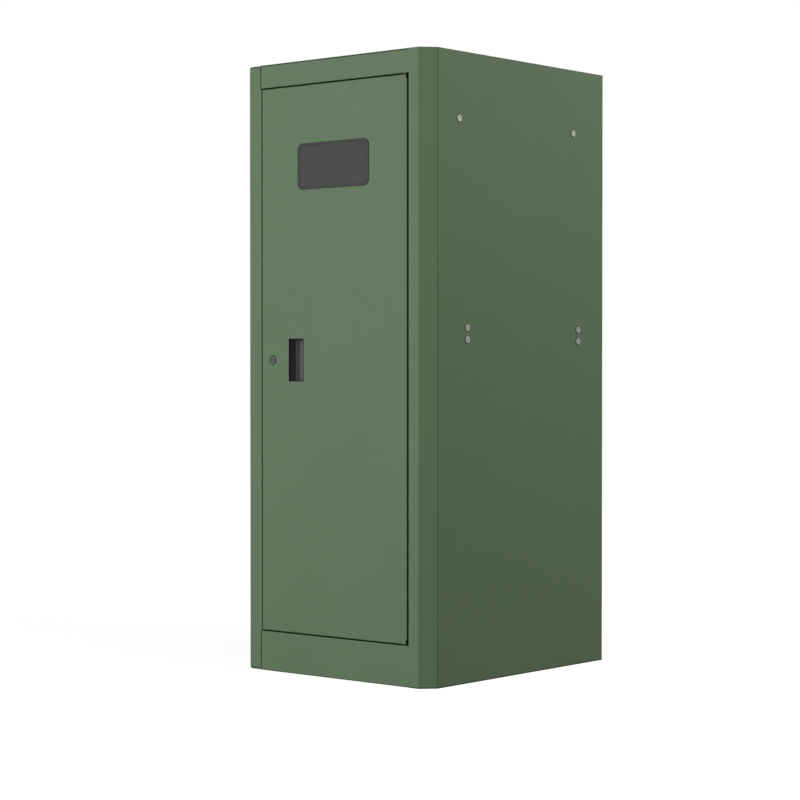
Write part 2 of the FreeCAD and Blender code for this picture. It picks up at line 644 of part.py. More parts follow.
def lock_parts():
    """Tubular cam lock: housing, nut, turning plug with its ring keyway, cam and screw."""
    bore = "size.plug_bore + 2 * size.running"
    face = f"{FRONT} - size.lock_proud"
    rear = f"{FRONT} + size.lock_long"

    housing = new_body("lock_housing")
    lock_disc(housing, face, FRONT, at_lock("size.lock_head"), at_lock(bore))
    lock_disc(housing, FRONT, rear, at_lock("size.lock_barrel"), at_lock(bore))
    front_rim = []
    for name in on_plane(housing.Tip.Shape, "Y", value(face)):
        if housing.Tip.Shape.getElement(name).Curve.Radius > value("size.lock_barrel") / 2:
            front_rim.append(name)
    bevel(housing, "size.lock_bevel", front_rim)

    nut = new_body("lock_nut")
    flats = hexagon(LOCK_X, GRIP_Z, "size.nut_flats / 2 / cos(30 deg)")
    threaded = at_lock("size.lock_barrel + 2 * size.running")
    lock_disc(nut, DOOR_SKIN, f"{DOOR_SKIN} + size.nut_thick", flats, threaded)

    plug = new_body("lock_plug")
    square_half = "size.cam_square / 2 - size.running"
    square = rectangle(f"{LOCK_X} - ({square_half})", f"{GRIP_Z} - ({square_half})",
                       f"{LOCK_X} + {square_half}", f"{GRIP_Z} + {square_half}")
    lock_disc(plug, face, rear, at_lock("size.plug_bore"))
    lock_disc(plug, rear, CAM_BACK, square)
    keyway = [at_lock("size.key_ring_out"), at_lock("size.key_ring_in")]
    cut(plug, "XZ_Plane", f"{face} - {T}", keyway, f"{T} + size.key_ring_deep")
    shank = "2 * size.cam_screw"
    tapped = at_lock("size.cam_screw + 2 * size.running")
    cut(plug, "XZ_Plane", f"{CAM_BACK} - {shank}", [tapped], f"{shank} + {T}")

    cam = new_body("lock_cam")
    wide = "size.cam_wide / 2"
    tip = f"{GRIP_Z} - size.cam_long"
    blade = rectangle(f"{LOCK_X} - {wide}", tip, f"{LOCK_X} + {wide}", f"{GRIP_Z} + {wide}")
    opening = "size.cam_square / 2"
    drive = rectangle(f"{LOCK_X} - {opening}", f"{GRIP_Z} - {opening}",
                      f"{LOCK_X} + {opening}", f"{GRIP_Z} + {opening}")
    lock_disc(cam, CAM_FRONT, CAM_BACK, blade, drive)
    heel = [(value(f"{LOCK_X} {s} {wide}"), value(f"{GRIP_Z} + {wide}")) for s in "-+"]
    point_edges = [(value(f"{LOCK_X} {s} {wide}"), value(tip)) for s in "-+"]
    round_off(cam, f"{wide} * 0.9", edges_along(cam.Tip.Shape, "Y", heel))
    round_off(cam, f"{wide} / 2", edges_along(cam.Tip.Shape, "Y", point_edges))

    screw = new_body("cam_screw")
    lock_disc(screw, f"{CAM_BACK} - {shank} + {T}", CAM_BACK, at_lock("size.cam_screw"))
    head = hexagon(LOCK_X, GRIP_Z, "size.cam_screw_head / 2")
    lock_disc(screw, CAM_BACK, f"{CAM_BACK} + size.cam_screw_head / 3", head)


# ---------------------------------------------------------------- pivots, catch and stop

def pivot(label, rail_edge, door_edge, up):
    """Pin, backing plate and door bush at one end; up is 1 at the header and -1 at the kick."""
    sign = "+" if up > 0 else "-"

    def stack(body, start, length, *loops):
        base = start if up > 0 else f"{start} - ({length})"
        pad(body, "XY_Plane", base, list(loops), length)

    def at_pivot(diameter):
        return circle(PIVOT_X, PIVOT_Y, diameter)

    bore = "size.pivot_pin + 2 * size.running"
    plate_start = f"{rail_edge} {sign} {T}"
    head_start = f"{plate_start} {sign} size.pivot_plate"
    pin_start = f"{door_edge} {'-' if up > 0 else '+'} size.bush_reach"
    reach = f"size.bush_reach + size.end_gap + {T} + size.pivot_plate"

    pin = new_body(f"{label}_pivot_pin")
    stack(pin, pin_start, reach, at_pivot("size.pivot_pin"))
    stack(pin, head_start, "size.pivot_plate", at_pivot("1.5 * size.pivot_pin"))

    plate = new_body(f"{label}_pivot_plate")
    half = "size.pivot_plate_long / 2"
    left = f"{HINGE_EDGE} - size.pivot_plate_long"
    outline = rectangle(left, f"{DOOR_SKIN} + size.bend", HINGE_EDGE, f"{RAIL_BACK} - 3 * {T}")
    stack(plate, plate_start, "size.pivot_plate", outline, at_pivot(bore))

    bush = new_body(f"{label}_pivot_bush")
    washer = f"{T}" if up > 0 else "size.end_gap - size.rest_gap"
    stack(bush, door_edge, washer, at_pivot("size.bush_flange"), at_pivot(bore))
    barrel = "size.pivot_pin + 2 * size.bush_wall"
    start = f"{door_edge} {'-' if up > 0 else '+'} size.bush_reach"
    stack(bush, start, "size.bush_reach", at_pivot(barrel), at_pivot(bore))


def catch_and_strike():
    """Magnetic catch under the header behind the door, and the steel strike it pulls."""
    middle = f"({DOOR_LEFT} + size.catch_in)"
    strike = new_body("catch_strike")
    plate = rectangle(f"{middle} - size.strike_wide / 2", f"{DOOR_HIGH} - size.door_return",
                      f"{middle} + size.strike_wide / 2", f"{DOOR_HIGH} - {T}")
    pad(strike, "XZ_Plane", DOOR_BACK, [plate], T)

    catch = new_body("magnetic_catch")
    front = f"{DOOR_BACK} + {T} + size.rest_gap"
    case = rectangle(f"{middle} - size.catch_wide / 2", f"{HEADER_LOW} - size.catch_tall",
                     f"{middle} + size.catch_wide / 2", HEADER_LOW)
    pad(catch, "XZ_Plane", front, [case], "size.catch_deep")
    spots = [(value(f"{middle} {s} size.catch_wide / 2"),
              value(f"{HEADER_LOW} - size.catch_tall")) for s in "-+"]
    round_off(catch, "size.catch_tall / 4", edges_along(catch.Tip.Shape, "Y", spots))


def door_stop():
    """Small angle on the kick rail with the rubber bumper that the closed door meets."""
    middle = f"({DOOR_LEFT} + size.catch_in)"
    upright = f"{DOOR_BACK} + size.rest_gap + 2 * {T}"
    half = "size.stop_wide / 2"
    stop = new_body("door_stop")
    angle = [(upright, KICK_TOP), (RAIL_BACK, KICK_TOP), (RAIL_BACK, f"{KICK_TOP} + {T}"),
             (f"{upright} + {T}", f"{KICK_TOP} + {T}"),
             (f"{upright} + {T}", f"{KICK_TOP} + size.stop_tall"),
             (upright, f"{KICK_TOP} + size.stop_tall")]
    pad(stop, "YZ_Plane", f"{middle} - {half}", [angle], "size.stop_wide")

    bumper = new_body("door_bumper")
    z = f"{KICK_TOP} + size.stop_tall / 2"
    disc = circle(middle, z, "size.bumper")
    pad(bumper, "XZ_Plane", f"{DOOR_BACK} + size.rest_gap", [disc], f"2 * {T}")


# ---------------------------------------------------------------- assembly

left_side_pan()
right_side_panel()
rail("header_rail", HEADER_LOW, 1, TOP_UNDER)
rail("kick_rail", KICK_TOP, -1, "0")
top_panel()
back_panel()
tray("floor_panel", f"({LEFT} + {T})", RAIL_BACK, f"({RIGHT} - {T})", INNER_REAR,
     KICK_TOP, "size.floor_flange")
for side_name, side_sign in (("left", -1), ("right", 1)):
    for place_name, place_y in (("front", POST_FRONT), ("rear", POST_REAR)):
        shelf_post(f"{side_name}_{place_name}_shelf_post", side_sign, place_y)
clip_pattern = shelf_clip()
for shelf_name, slot_number in SHELF_SLOTS.items():
    shelf_and_clips(shelf_name, slot_number, clip_pattern)
group_of("wall_plugs", wall_plug(), [(RIGHT, y, z, 0) for y, z in BOLTS])
door_pan()
door_stiffener()
pull_cup()
lock_parts()
pivot("upper", HEADER_LOW, DOOR_HIGH, 1)
pivot("lower", KICK_TOP, DOOR_LOW, -1)
catch_and_strike()
door_stop()
doc.recompute()

for item in doc.Objects:
    if "Invalid" in item.State or "Error" in item.State:
        raise RuntimeError(f"{item.Label} did not build: {item.State}")
for node in NODES:
    if node.Shape.isNull() or not node.Shape.isValid():
        raise RuntimeError(f"{node.Label} has no valid shape")
os.makedirs("parts", exist_ok=True)
for node in NODES:
    node.Shape.exportStep(f"parts/{node.Label}.step")
    print(node.Label, len(node.Shape.Solids), round(node.Shape.Volume, 1))
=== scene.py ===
import json
import math

import bmesh
import bpy
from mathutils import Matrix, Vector


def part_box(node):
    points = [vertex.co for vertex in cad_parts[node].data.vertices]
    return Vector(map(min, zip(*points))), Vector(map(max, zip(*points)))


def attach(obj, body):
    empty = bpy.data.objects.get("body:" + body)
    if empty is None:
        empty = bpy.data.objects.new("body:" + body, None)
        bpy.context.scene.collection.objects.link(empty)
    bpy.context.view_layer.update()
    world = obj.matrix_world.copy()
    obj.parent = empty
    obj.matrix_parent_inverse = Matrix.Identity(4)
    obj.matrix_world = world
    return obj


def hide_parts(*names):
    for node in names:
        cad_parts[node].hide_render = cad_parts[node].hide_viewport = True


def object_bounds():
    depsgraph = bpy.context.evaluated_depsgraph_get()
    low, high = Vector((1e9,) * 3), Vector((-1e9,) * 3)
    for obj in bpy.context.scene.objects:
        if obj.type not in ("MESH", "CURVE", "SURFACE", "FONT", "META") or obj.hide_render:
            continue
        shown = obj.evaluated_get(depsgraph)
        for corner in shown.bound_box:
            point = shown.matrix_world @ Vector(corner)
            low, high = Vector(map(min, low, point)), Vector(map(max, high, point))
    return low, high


# Looks for the sheet-steel side locker. Metres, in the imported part's own frame: +Z up, door towards -Y.

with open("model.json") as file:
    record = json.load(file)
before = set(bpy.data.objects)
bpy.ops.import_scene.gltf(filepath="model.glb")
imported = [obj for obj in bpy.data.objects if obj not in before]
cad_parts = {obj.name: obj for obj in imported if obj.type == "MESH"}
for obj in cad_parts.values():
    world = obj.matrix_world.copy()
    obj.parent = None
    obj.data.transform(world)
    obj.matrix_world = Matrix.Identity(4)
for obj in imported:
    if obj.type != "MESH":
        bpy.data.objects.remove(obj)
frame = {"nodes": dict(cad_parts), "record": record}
cad_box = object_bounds()
MM = 0.001
SHEET = 1.2 * MM
HALF_TALL = cad_box[1][2] / 2
SPREAD = {"From Min": 0.3, "From Max": 0.7}     # nearly all of a noise lies here; it is stretched to 0 to 1

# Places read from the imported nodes, so that each piece sits on what carries it.
door_low, door_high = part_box("door_pan")
lock_low, lock_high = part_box("lock_housing")
plug_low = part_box("lock_plug")[0]
stiff_low, stiff_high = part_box("door_stiffener")
catch_low, catch_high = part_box("magnetic_catch")
strike_low, strike_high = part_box("catch_strike")
stop_low, stop_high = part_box("door_stop")
wall_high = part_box("right_side_panel")[1]
cup_low, cup_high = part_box("pull_cup")
top_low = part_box("top_panel")[0]
DOOR_FACE = door_low.y
LOCK = Vector(((lock_low.x + lock_high.x) / 2, 0, (lock_low.z + lock_high.z) / 2))
CUP_RIM = 6 * MM        # the cup's flange behind the door's skin, past the window on every side
SLANT_START = wall_high.x - 26 * MM    # just before the slanted corner's first fold
RIM_BAND = 2.4 * MM     # height of the rounded band along the top and bottom edges
SEAM_WIDE = 1.2 * MM    # open seam between the left pan's rim and the top, head and kick rails
SEAM_MIDDLE = top_low.x - SEAM_WIDE / 2
DOOR_MIDDLE = (door_low.z + door_high.z) / 2


# ---------------------------------------------------------------- colours and nodes

def colour(code):
    """Linear RGBA of an sRGB hex colour."""
    parts = [int(code[i:i + 2], 16) / 255 for i in (1, 3, 5)]
    return [p / 12.92 if p <= 0.04045 else ((p + 0.055) / 1.055) ** 2.4 for p in parts] + [1.0]


def node(tree, kind, inputs=None, **settings):
    """Adds a node. Each input is a value, an output, or a node whose first live output it takes."""
    made = tree.nodes.new(kind)
    for name, setting in settings.items():
        setattr(made, name, setting)
    for name, source in (inputs or {}).items():
        if isinstance(source, bpy.types.Node):
            source = next(output for output in source.outputs if output.enabled)
        if isinstance(source, bpy.types.NodeSocket):
            tree.links.new(source, made.inputs[name])
        else:
            made.inputs[name].default_value = source
    return made


def new_material(name):
    """An empty node material and the piece's own coordinates."""
    material = bpy.data.materials.new(name)
    material.use_nodes = True
    tree = material.node_tree
    tree.nodes.clear()
    return material, tree, node(tree, "ShaderNodeTexCoord").outputs["Object"]


# ---------------------------------------------------------------- finishes

def painted_fold_shade(tree, spot):
    """How much painted shade darkens the cabinet's outer folds, from 0 to 1."""
    # A fold is where the face looks between two of the sheet's flat directions, which are along the axes
    # and at 45 degrees.
    normal = node(tree, "ShaderNodeNewGeometry").outputs["True Normal"]
    normal = node(tree, "ShaderNodeVectorTransform", {"Vector": normal}, vector_type="NORMAL",
                  convert_from="WORLD", convert_to="OBJECT")
    signed = node(tree, "ShaderNodeSeparateXYZ", {0: normal}).outputs
    plain = node(tree, "ShaderNodeVectorMath", {0: normal}, operation="ABSOLUTE")
    plain = node(tree, "ShaderNodeSeparateXYZ", {0: plain}).outputs
    most = node(tree, "ShaderNodeMath", {0: plain[0], 1: plain[1]}, operation="MAXIMUM")
    most = node(tree, "ShaderNodeMath", {0: most, 1: plain[2]}, operation="MAXIMUM")
    off_axis = node(tree, "ShaderNodeMapRange", {"Value": most, "From Min": 0.995, "From Max": 0.96})
    off_slant = node(tree, "ShaderNodeMapRange", {"Value": most, "From Min": 0.710, "From Max": 0.74})
    fold = node(tree, "ShaderNodeMath", {0: off_axis, 1: off_slant}, operation="MULTIPLY")
    # The painted shade is weakest on the wide fold between front and slanted corner, stronger on the left one
    # and the one behind the slanted corner, and strongest on the top's tight rim, above all at the side.
    lean = node(tree, "ShaderNodeMath", {0: signed[0], 1: signed[1]}, operation="ADD")
    behind = node(tree, "ShaderNodeMapRange", {"Value": lean, "From Min": -0.05, "From Max": 0.05,
                                               "To Max": 0.75})
    left = node(tree, "ShaderNodeMapRange", {"Value": signed[0], "From Min": 0.02, "From Max": -0.02,
                                             "To Min": 0.1, "To Max": 0.85})
    rim = node(tree, "ShaderNodeMapRange", {"Value": plain[2], "From Min": 0.06, "From Max": 0.25})
    round_side = node(tree, "ShaderNodeMapRange", {"Value": lean, "From Min": -0.05, "From Max": 0.0,
                                                   "To Min": 0.7, "To Max": 1.0})
    rim = node(tree, "ShaderNodeMath", {0: rim, 1: round_side}, operation="MULTIPLY")
    # thin is the share of painted fold shade, before it is kept to the outer folds.
    thin = node(tree, "ShaderNodeMath", {0: behind, 1: left}, operation="MAXIMUM")
    thin = node(tree, "ShaderNodeMath", {0: thin, 1: rim}, operation="MAXIMUM")
    thin = node(tree, "ShaderNodeMath", {0: thin, 1: fold}, operation="MULTIPLY")
    # Only the folds at the sides and the ends count, not the door's and the shelves'.
    centred = node(tree, "ShaderNodeVectorMath", {0: spot, 1: (0, 0, -HALF_TALL)})
    centred = node(tree, "ShaderNodeVectorMath", {0: centred}, operation="ABSOLUTE")
    centred = node(tree, "ShaderNodeSeparateXYZ", {0: centred}).outputs
    sides = node(tree, "ShaderNodeMath", {0: centred[0], 1: SLANT_START}, operation="GREATER_THAN")
    ends = node(tree, "ShaderNodeMath", {0: centred[2], 1: HALF_TALL - RIM_BAND}, operation="GREATER_THAN")
    outer = node(tree, "ShaderNodeMath", {0: sides, 1: ends}, operation="MAXIMUM")
    return node(tree, "ShaderNodeMath", {0: thin, 1: outer}, operation="MULTIPLY")


def painted_gap_shade(tree, spot):
    """Painted shade in gaps and corners, and along the seam above and below the door, from 0 to 1."""
    # Painted shade darkens gaps and corners under 6 mm, by ambient occlusion.
    reach = node(tree, "ShaderNodeAmbientOcclusion", {"Distance": 6 * MM}, samples=8).outputs["AO"]
    # The painted shade is deeper beside the hinge edge.
    along = node(tree, "ShaderNodeSeparateXYZ", {0: spot}).outputs
    hinge_side = node(tree, "ShaderNodeMath", {0: along[0], 1: door_high.x - 1 * MM},
                      operation="GREATER_THAN")
    reach = node(tree, "ShaderNodeMath", {0: hinge_side, 1: -0.2, 2: reach}, operation="MULTIPLY_ADD")
    gap_shade = node(tree, "ShaderNodeMapRange", {"Value": reach, "From Min": 0.62, "From Max": 0.36})
    # Painted shade also fills the open seam that runs above and below the door, and 0.4 mm either side of it.
    from_seam = node(tree, "ShaderNodeVectorMath", {0: spot, 1: (SEAM_MIDDLE, 0, DOOR_MIDDLE)},
                     operation="SUBTRACT")
    from_seam = node(tree, "ShaderNodeVectorMath", {0: from_seam}, operation="ABSOLUTE")
    from_seam = node(tree, "ShaderNodeSeparateXYZ", {0: from_seam}).outputs
    seam_shade = node(tree, "ShaderNodeMath", {0: from_seam[0], 1: SEAM_WIDE / 2 + 0.4 * MM},
                   operation="LESS_THAN")
    past_door = node(tree, "ShaderNodeMath", {0: from_seam[2], 1: door_high.z + 1 * MM - DOOR_MIDDLE},
                     operation="GREATER_THAN")
    seam_shade = node(tree, "ShaderNodeMath", {0: seam_shade, 1: past_door}, operation="MULTIPLY")
    return node(tree, "ShaderNodeMath", {0: gap_shade, 1: seam_shade}, operation="MAXIMUM")


def powder_coated_steel():
    """Polyester powder coat, sprayed and baked on zinc-phosphated sheet: an even semi-gloss green skin."""
    material, tree, spot = new_material("powder_coated_steel")
    # The gun lays the powder in drifts, which shift the tone by a percent or two over 150 mm.
    drift = node(tree, "ShaderNodeTexNoise", {"Vector": spot, "Scale": 1 / (150 * MM), "Detail": 2.0})
    drift = node(tree, "ShaderNodeMapRange", {"Value": drift, **SPREAD})
    skin = node(tree, "ShaderNodeMix", {0: drift, 6: colour("#5E785A"), 7: colour("#607A5C")},
                data_type="RGBA")
    # Painted shade: #2C3A28 darkens the outer folds, and the near-black #0B110A fills the gaps and the seam.
    skin = node(tree, "ShaderNodeMix", {0: painted_fold_shade(tree, spot), 6: skin, 7: colour("#2C3A28")},
                data_type="RGBA")
    skin = node(tree, "ShaderNodeMix", {0: painted_gap_shade(tree, spot), 6: skin, 7: colour("#0B110A")},
                data_type="RGBA")
    gloss = node(tree, "ShaderNodeTexNoise", {"Vector": spot, "Scale": 1 / (12 * MM), "Detail": 3.0})
    gloss = node(tree, "ShaderNodeMapRange", {"Value": gloss, **SPREAD, "To Min": 0.46, "To Max": 0.54})
    # The melted powder sets with orange peel, dimples of 2 to 3 mm; it is drawn at 5 mm so that it shows.
    peel = node(tree, "ShaderNodeTexNoise", {"Vector": spot, "Scale": 1 / (5 * MM), "Detail": 1.0})
    relief = node(tree, "ShaderNodeBump", {"Height": peel, "Distance": 0.03 * MM, "Strength": 0.35})
    shader = node(tree, "ShaderNodeBsdfPrincipled", {"Base Color": skin, "Roughness": gloss, "Normal": relief,
                                                     "IOR": 1.5, "Specular IOR Level": 0.15})
    node(tree, "ShaderNodeOutputMaterial", {"Surface": shader})
    return material


def barrelled_zinc():
    """Cold-rolled steel barrel-plated in bright zinc: pale, bluish, with faint tumbling marks."""
    material, tree, spot = new_material("barrelled_zinc")
    cloud = node(tree, "ShaderNodeTexNoise", {"Vector": spot, "Scale": 1 / (4 * MM), "Detail": 4.0})
    cloud = node(tree, "ShaderNodeMapRange", {"Value": cloud, **SPREAD})
    plate = node(tree, "ShaderNodeMix", {0: cloud, 6: colour("#B4B8BC"), 7: colour("#C6C8C8")},
                 data_type="RGBA")
    haze = node(tree, "ShaderNodeTexNoise", {"Vector": spot, "Scale": 1 / (1.2 * MM), "Detail": 4.0})
    haze = node(tree, "ShaderNodeMapRange", {"Value": haze, **SPREAD, "To Min": 0.28, "To Max": 0.42})
    # Scratches left by the barrel lie about 0.4 mm apart.
    scuff = node(tree, "ShaderNodeTexNoise", {"Vector": spot, "Scale": 1 / (0.4 * MM), "Detail": 5.0,
                                              "Roughness": 0.7})
    relief = node(tree, "ShaderNodeBump", {"Height": scuff, "Distance": 0.01 * MM, "Strength": 0.3})
    shader = node(tree, "ShaderNodeBsdfPrincipled", {"Base Color": plate, "Roughness": haze, "Normal": relief,
                                                     "Metallic": 1.0})
    node(tree, "ShaderNodeOutputMaterial", {"Surface": shader})
    return material


def satin_nickel():
    """Pressed steel plugs in satin nickel: a warm grey metal that blurs what it mirrors."""
    material, tree, spot = new_material("satin_nickel")
    cloud = node(tree, "ShaderNodeTexNoise", {"Vector": spot, "Scale": 1 / (3 * MM), "Detail": 3.0})
    cloud = node(tree, "ShaderNodeMapRange", {"Value": cloud, **SPREAD})
    plate = node(tree, "ShaderNodeMix", {0: cloud, 6: colour("#7C8279"), 7: colour("#888C84")},
                 data_type="RGBA")
    # The real dished middle keeps the press tool's polish and the rim is duller; here grains of 0.8 mm vary
    # the haze evenly over both.
    haze = node(tree, "ShaderNodeTexNoise", {"Vector": spot, "Scale": 1 / (0.8 * MM), "Detail": 3.0})
    haze = node(tree, "ShaderNodeMapRange", {"Value": haze, **SPREAD, "To Min": 0.32, "To Max": 0.42})
    shader = node(tree, "ShaderNodeBsdfPrincipled", {"Base Color": plate, "Roughness": haze, "Metallic": 1.0})
    node(tree, "ShaderNodeOutputMaterial", {"Surface": shader})
    return material


def satin_chromed_zinc():
    """Die-cast zinc lock parts under dark satin chrome, fine-turned on the face."""
    material, tree, spot = new_material("satin_chromed_zinc")
    centred = node(tree, "ShaderNodeMapping", {"Vector": spot, "Location": -LOCK})
    # Turning marks run round the lock's axis, 0.5 mm apart, coarser than the real 0.1 mm so that they show.
    rings = node(tree, "ShaderNodeTexWave", {"Vector": centred, "Scale": 1 / (3.1 * MM), "Distortion": 0.6,
                                             "Detail": 1.0}, wave_type="RINGS", rings_direction="Y")
    rings = rings.outputs["Fac"]
    plate = node(tree, "ShaderNodeMix", {0: rings, 6: colour("#3C3F3B"), 7: colour("#464945")},
                 data_type="RGBA")
    # Painted shade: the head's rolled rim is darkened, for the dark door that it would mirror.
    flat = node(tree, "ShaderNodeVectorMath", {0: centred, 1: (1, 0, 1)}, operation="MULTIPLY")
    radius = node(tree, "ShaderNodeVectorMath", {0: flat}, operation="LENGTH").outputs["Value"]
    rim_shade = node(tree, "ShaderNodeMapRange", {"Value": radius, "From Min": 7.2 * MM, "From Max": 7.6 * MM})
    plate = node(tree, "ShaderNodeMix", {0: rim_shade, 6: plate, 7: colour("#20221F")}, data_type="RGBA")
    haze = node(tree, "ShaderNodeTexNoise", {"Vector": spot, "Scale": 1 / (1 * MM), "Detail": 3.0})
    haze = node(tree, "ShaderNodeMapRange", {"Value": haze, **SPREAD, "To Min": 0.34, "To Max": 0.46})
    relief = node(tree, "ShaderNodeBump", {"Height": rings, "Distance": 0.01 * MM, "Strength": 0.3})
    shader = node(tree, "ShaderNodeBsdfPrincipled", {"Base Color": plate, "Roughness": haze, "Normal": relief,
                                                     "Metallic": 1.0})
    node(tree, "ShaderNodeOutputMaterial", {"Surface": shader})
    return material


def blackened_steel():
    """Turned steel pins in hot black oxide: near black, with the thin sheen of its oil."""
    material, tree, spot = new_material("blackened_steel")
    # Oil lies on the oxide in smears of about 2 mm.
    smear = node(tree, "ShaderNodeTexNoise", {"Vector": spot, "Scale": 1 / (2 * MM), "Detail": 3.0})
    smear = node(tree, "ShaderNodeMapRange", {"Value": smear, **SPREAD})
    oxide = node(tree, "ShaderNodeMix", {0: smear, 6: colour("#1B1B1D"), 7: colour("#262628")},
                 data_type="RGBA")
    haze = node(tree, "ShaderNodeMapRange", {"Value": smear, "To Min": 0.35, "To Max": 0.5})
    shader = node(tree, "ShaderNodeBsdfPrincipled", {"Base Color": oxide, "Roughness": haze, "Metallic": 1.0})
    node(tree, "ShaderNodeOutputMaterial", {"Surface": shader})
    return material


def moulded_plastic(name, low, high, grit, rough):
    """Injection-moulded plastic with a spark-eroded grain of the given grit."""
    material, tree, spot = new_material(name)
    tone = node(tree, "ShaderNodeTexNoise", {"Vector": spot, "Scale": 1 / (14 * MM), "Detail": 3.0})
    tone = node(tree, "ShaderNodeMapRange", {"Value": tone, **SPREAD})
    body = node(tree, "ShaderNodeMix", {0: tone, 6: colour(low), 7: colour(high)}, data_type="RGBA")
    haze = node(tree, "ShaderNodeTexNoise", {"Vector": spot, "Scale": 1 / (3 * MM), "Detail": 3.0})
    haze = node(tree, "ShaderNodeMapRange", {"Value": haze, **SPREAD, "To Min": rough - 0.05,
                                             "To Max": rough + 0.05})
    pits = node(tree, "ShaderNodeTexVoronoi", {"Vector": spot, "Scale": 1 / grit})
    relief = node(tree, "ShaderNodeBump", {"Height": pits, "Distance": 0.05 * MM, "Strength": 0.4})
    shader = node(tree, "ShaderNodeBsdfPrincipled", {"Base Color": body, "Roughness": haze, "Normal": relief,
                                                     "IOR": 1.53, "Specular IOR Level": 0.25})
    node(tree, "ShaderNodeOutputMaterial", {"Surface": shader})
    return material


def bumper_rubber():
    """Moulded black EPDM rubber: matt, with a grey bloom in patches."""
    material, tree, spot = new_material("bumper_rubber")
    bloom = node(tree, "ShaderNodeTexNoise", {"Vector": spot, "Scale": 1 / (5 * MM), "Detail": 4.0})
    bloom = node(tree, "ShaderNodeMapRange", {"Value": bloom, **SPREAD})
    body = node(tree, "ShaderNodeMix", {0: bloom, 6: colour("#161616"), 7: colour("#222120")},
                data_type="RGBA")
    haze = node(tree, "ShaderNodeMapRange", {"Value": bloom, "To Min": 0.7, "To Max": 0.85})
    pores = node(tree, "ShaderNodeTexNoise", {"Vector": spot, "Scale": 1 / (0.6 * MM), "Detail": 2.0})
    relief = node(tree, "ShaderNodeBump", {"Height": pores, "Distance": 0.03 * MM, "Strength": 0.4})
    shader = node(tree, "ShaderNodeBsdfPrincipled", {"Base Color": body, "Roughness": haze, "Normal": relief,
                                                     "Specular IOR Level": 0.2})
    node(tree, "ShaderNodeOutputMaterial", {"Surface": shader})
    return material


paint = powder_coated_steel()
zinc = barrelled_zinc()
nickel = satin_nickel()
chrome = satin_chromed_zinc()
black_pin = blackened_steel()
cup_abs = moulded_plastic("charcoal_abs_cup", "#58585A", "#5E5E60", 0.7 * MM, 0.55)
plate_abs = moulded_plastic("black_abs_plate", "#1E1C1C", "#242222", 0.7 * MM, 0.5)
catch_abs = moulded_plastic("black_abs_catch", "#202022", "#29292B", 0.7 * MM, 0.5)
bush_nylon = moulded_plastic("black_nylon_bush", "#232523", "#2C2E2C", 0.5 * MM, 0.4)
rubber = bumper_rubber()

FINISHES = {"green_powder_coat": paint, "zinc_plated_steel": zinc, "bright_plug_steel": nickel,
            "blackened_steel": black_pin, "black_cup_plastic": cup_abs, "bush_nylon": bush_nylon,
            "catch_plastic": catch_abs, "bumper_rubber": rubber, "lock_zinc": chrome}
for entry in frame["record"]["subparts"]:
    shown = frame["nodes"][entry["node"]]
    shown.data.materials.clear()
    shown.data.materials.append(FINISHES[entry["material_slot"]])


# ---------------------------------------------------------------- mesh helpers

def piece(name, body, mesh):
    """Makes a finished mesh a piece that rides on a body."""
    made = bpy.data.objects.new(name, mesh)
    bpy.context.scene.collection.objects.link(made)
    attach(made, body)
    return made


def mesh_of(shape, name, material, smooth=None):
    """Closes a bmesh into a mesh with one material; edges sharper than smooth degrees stay crisp."""
    bmesh.ops.recalc_face_normals(shape, faces=shape.faces[:])
    mesh = bpy.data.meshes.new(name)
    shape.to_mesh(mesh)
    shape.free()
    mesh.materials.append(material)
    if smooth is not None:
        for face in mesh.polygons:
            face.use_smooth = True
        mesh.set_sharp_from_angle(angle=math.radians(smooth))
    return mesh


def loft(shape, loops, closed_ends=True):
    """Skins between loops of equal length, each a list of points."""
    rows = [[shape.verts.new(point) for point in loop] for loop in loops]
    count = len(rows[0])
    for near, far in zip(rows, rows[1:]):
        for i in range(count):
            shape.faces.new((near[i], near[(i + 1) % count], far[(i + 1) % count], far[i]))
    if closed_ends:
        shape.faces.new(rows[0][::-1])
        shape.faces.new(rows[-1])


def rounded_loop(middle, wide, tall, radius, y, steps=8):
    """Points of a rounded rectangle that faces -Y, at a depth y."""
    points = []
    for turn, (sx, sz) in enumerate(((1, 1), (-1, 1), (-1, -1), (1, -1))):
        for step in range(steps + 1):
            angle = math.radians(90 * turn + 90 * step / steps)
            points.append((middle[0] + sx * (wide / 2 - radius) + radius * math.cos(angle), y,
                           middle[1] + sz * (tall / 2 - radius) + radius * math.sin(angle)))
    return points


def turned(shape, profile, middle, steps=48):
    """Lathes a profile of (radius, y) pairs about an axis along Y through the middle."""
    loops = []
    for radius, y in profile:
        loops.append([(middle[0] + radius * math.cos(2 * math.pi * i / steps), y,
                       middle[1] + radius * math.sin(2 * math.pi * i / steps)) for i in range(steps)])
    loft(shape, loops)


# ---------------------------------------------------------------- geometry node helpers

def new_tree(name, **sizes):
    """A geometry tree with a geometry in and out and one named float input for each size."""
    tree = bpy.data.node_groups.new(name, "GeometryNodeTree")
    tree.interface.new_socket("Geometry", in_out="INPUT", socket_type="NodeSocketGeometry")
    for label, number in sizes.items():
        socket = tree.interface.new_socket(label.replace("_", " "), in_out="INPUT",
                                           socket_type="NodeSocketFloat")
        socket.default_value = number
    tree.interface.new_socket("Geometry", in_out="OUTPUT", socket_type="NodeSocketGeometry")
    return tree, node(tree, "NodeGroupInput").outputs


def set_facing(tree, points, thing):
    """Sets a thing on every point, with its top towards the direction that the point stores."""
    stored = node(tree, "GeometryNodeInputNamedAttribute", {"Name": "facing"}, data_type="FLOAT_VECTOR")
    turn = node(tree, "FunctionNodeAlignRotationToVector", {"Vector": stored}, axis="Z")
    return node(tree, "GeometryNodeInstanceOnPoints", {"Points": points, "Instance": thing, "Rotation": turn})


